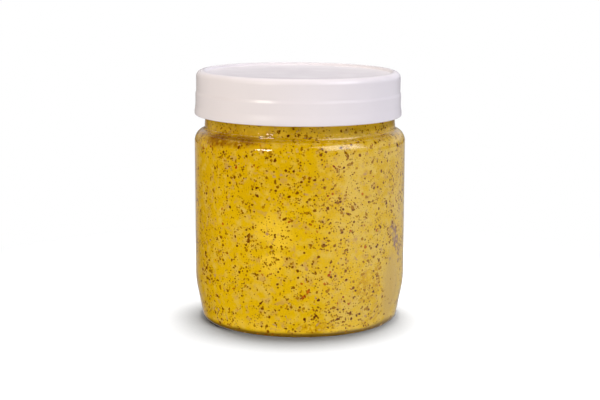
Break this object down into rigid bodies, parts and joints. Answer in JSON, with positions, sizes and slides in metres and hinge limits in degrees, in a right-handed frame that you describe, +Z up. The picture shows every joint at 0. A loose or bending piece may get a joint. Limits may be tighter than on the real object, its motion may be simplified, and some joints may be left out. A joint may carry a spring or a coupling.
{
  "type": "chutney jar",
  "caption": "Shut clear plastic wide-mouth jar full of yellow speckled chutney, with a white screw lid; food to stand on a shelf or table.",
  "frame": {"origin": "centre of the ring that the jar stands on, at table height", "axes": "+Z up along the jar's axis; the shown side faces -Y, with +X to its right"},
  "size_m": [0.07, 0.07, 0.083],
  "materials": {
    "clear_pet": "clear, glossy, blown",
    "white_polypropylene": "satin gloss, moulded",
    "chutney": "moist mustard-yellow paste with dark spice specks"
  },
  "bodies": {
    "root": {"jar": "clear_pet", "lid": "white_polypropylene", "chutney": "chutney"}
  },
  "joints": []
}
